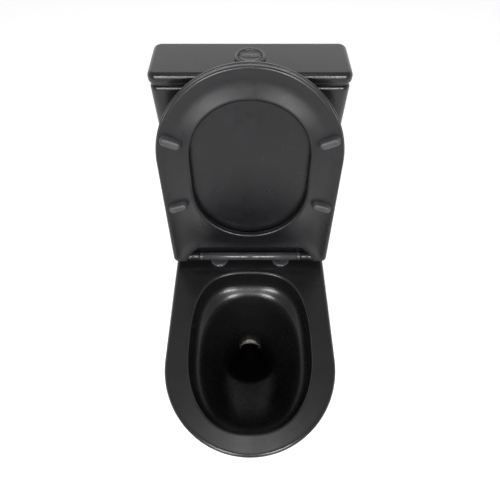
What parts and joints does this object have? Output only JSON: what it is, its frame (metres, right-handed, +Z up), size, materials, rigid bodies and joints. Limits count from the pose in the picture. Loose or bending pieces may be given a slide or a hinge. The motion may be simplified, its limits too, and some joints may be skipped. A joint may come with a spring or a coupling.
{
  "type": "close coupled toilet",
  "caption": "Rimless back-to-wall toilet pan with a slim close coupled cistern, dual flush button, and a slim wrap-over seat and lid on a soft-close hinge, stored raised.",
  "frame": {"origin": "centre of the bounding box, on the floor", "axes": "+X to the right seen from the front, +Y towards the wall behind, +Z up"},
  "size_m": [0.38, 0.678, 0.8668],
  "materials": {
    "black_glaze": "satin black glaze",
    "black_plastic": "satin black",
    "black_rubber": "matt",
    "white_plastic": "moulded",
    "blue_plastic": "moulded",
    "grey_plastic": "moulded",
    "steel": "brushed"
  },
  "bodies": {
    "fixed": {"pan_skirt": "black_glaze", "pan_deck": "black_glaze", "pan_bowl": "black_glaze", "pan_trap": "black_glaze", "floor_bracket_left": "grey_plastic", "floor_bracket_right": "grey_plastic", "side_screw_left": "steel", "side_screw_right": "steel", "side_cap_left": "black_plastic", "side_cap_right": "black_plastic", "cistern": "black_glaze", "cistern_gasket": "black_rubber", "cistern_bolt_left": "steel", "cistern_bolt_right": "steel", "bolt_seal_left": "black_rubber", "bolt_seal_right": "black_rubber", "wing_nut_left": "steel", "wing_nut_right": "steel", "flush_valve_seat": "white_plastic", "flush_valve_gasket": "black_rubber", "flush_valve_nut": "white_plastic", "flush_valve_tower": "white_plastic", "fill_valve_body": "white_plastic", "fill_valve_washer": "black_rubber", "fill_valve_nut": "white_plastic", "hinge_barrel": "black_plastic", "hinge_post_left": "steel", "hinge_post_right": "steel", "hinge_rosette_left": "black_plastic", "hinge_rosette_right": "black_plastic", "hinge_anchor_left": "black_rubber", "hinge_anchor_right": "black_rubber", "hinge_nut_left": "steel", "hinge_nut_right": "steel", "lid_damper": "grey_plastic", "seat_damper": "grey_plastic"},
    "lid": {"lid": "black_plastic", "lid_shaft": "steel", "lid_buffer_left": "black_rubber", "lid_buffer_right": "black_rubber"},
    "seat": {"seat": "black_plastic", "seat_shaft": "steel", "seat_bumper_front_left": "black_rubber", "seat_bumper_front_right": "black_rubber", "seat_bumper_rear_left": "black_rubber", "seat_bumper_rear_right": "black_rubber"},
    "cistern_cover": {"cistern_lid": "black_glaze", "button_bezel": "black_plastic", "button_nut": "white_plastic"},
    "full_button": {"full_flush_button": "black_plastic", "full_flush_rod": "white_plastic"},
    "half_button": {"half_flush_button": "black_plastic", "half_flush_rod": "white_plastic"},
    "full_rocker": {"full_flush_rocker": "blue_plastic"},
    "half_rocker": {"half_flush_rocker": "grey_plastic"},
    "flush_valve": {"overflow_tube": "blue_plastic", "flush_valve_seal": "black_rubber"},
    "half_float": {"half_flush_float": "grey_plastic"},
    "fill_float": {"fill_valve_float": "grey_plastic"},
    "fill_lever": {"fill_valve_lever": "blue_plastic"}
  },
  "joints": [
    {"name": "lid_hinge", "type": "hinge", "parent": "fixed", "child": "lid", "pos_m": [0, 0.096, 0.428], "axis": [1, 0, 0], "range_deg": [0, 101]},
    {"name": "seat_hinge", "type": "hinge", "parent": "fixed", "child": "seat", "pos_m": [0, 0.096, 0.428], "axis": [1, 0, 0], "range_deg": [0, 101]},
    {"name": "cistern_lid_lift", "type": "slide", "parent": "fixed", "child": "cistern_cover", "axis": [0, 0, 1], "range_m": [0, 0.12]},
    {"name": "full_flush_press", "type": "slide", "parent": "cistern_cover", "child": "full_button", "axis": [0, 0, -1], "range_m": [0, 0.006], "stiffness_N_per_m": 400, "springref_m": -0.004},
    {"name": "half_flush_press", "type": "slide", "parent": "cistern_cover", "child": "half_button", "axis": [0, 0, -1], "range_m": [0, 0.006], "stiffness_N_per_m": 400, "springref_m": -0.004},
    {"name": "full_rocker_tilt", "type": "hinge", "parent": "fixed", "child": "full_rocker", "pos_m": [0.026, 0.292, 0.637], "axis": [0, -1, 0], "range_deg": [0, 22.5]},
    {"name": "half_rocker_tilt", "type": "hinge", "parent": "fixed", "child": "half_rocker", "pos_m": [-0.026, 0.27, 0.637], "axis": [0, 1, 0], "range_deg": [0, 22.5]},
    {"name": "flush_valve_lift", "type": "slide", "parent": "fixed", "child": "flush_valve", "axis": [0, 0, 1], "range_m": [0, 0.0095]},
    {"name": "half_float_lift", "type": "slide", "parent": "fixed", "child": "half_float", "axis": [0, 0, 1], "range_m": [0, 0.0095]},
    {"name": "fill_float_rise", "type": "slide", "parent": "fixed", "child": "fill_float", "axis": [0, 0, 1], "range_m": [0, 0.014]},
    {"name": "fill_lever_tilt", "type": "hinge", "parent": "fixed", "child": "fill_lever", "pos_m": [-0.146, 0.281, 0.733], "axis": [0, -1, 0], "range_deg": [0, 36]}
  ],
  "couplings": [
    {"joint": "seat_hinge", "follows": "lid_hinge", "ratio": 1},
    {"joint": "full_rocker_tilt", "follows": "full_flush_press", "rad_per_m": 64},
    {"joint": "flush_valve_lift", "follows": "full_flush_press", "ratio": 1.5},
    {"joint": "half_rocker_tilt", "follows": "half_flush_press", "rad_per_m": 64},
    {"joint": "half_float_lift", "follows": "half_flush_press", "ratio": 1.5},
    {"joint": "fill_lever_tilt", "follows": "fill_float_rise", "rad_per_m": 43.6}
  ]
}
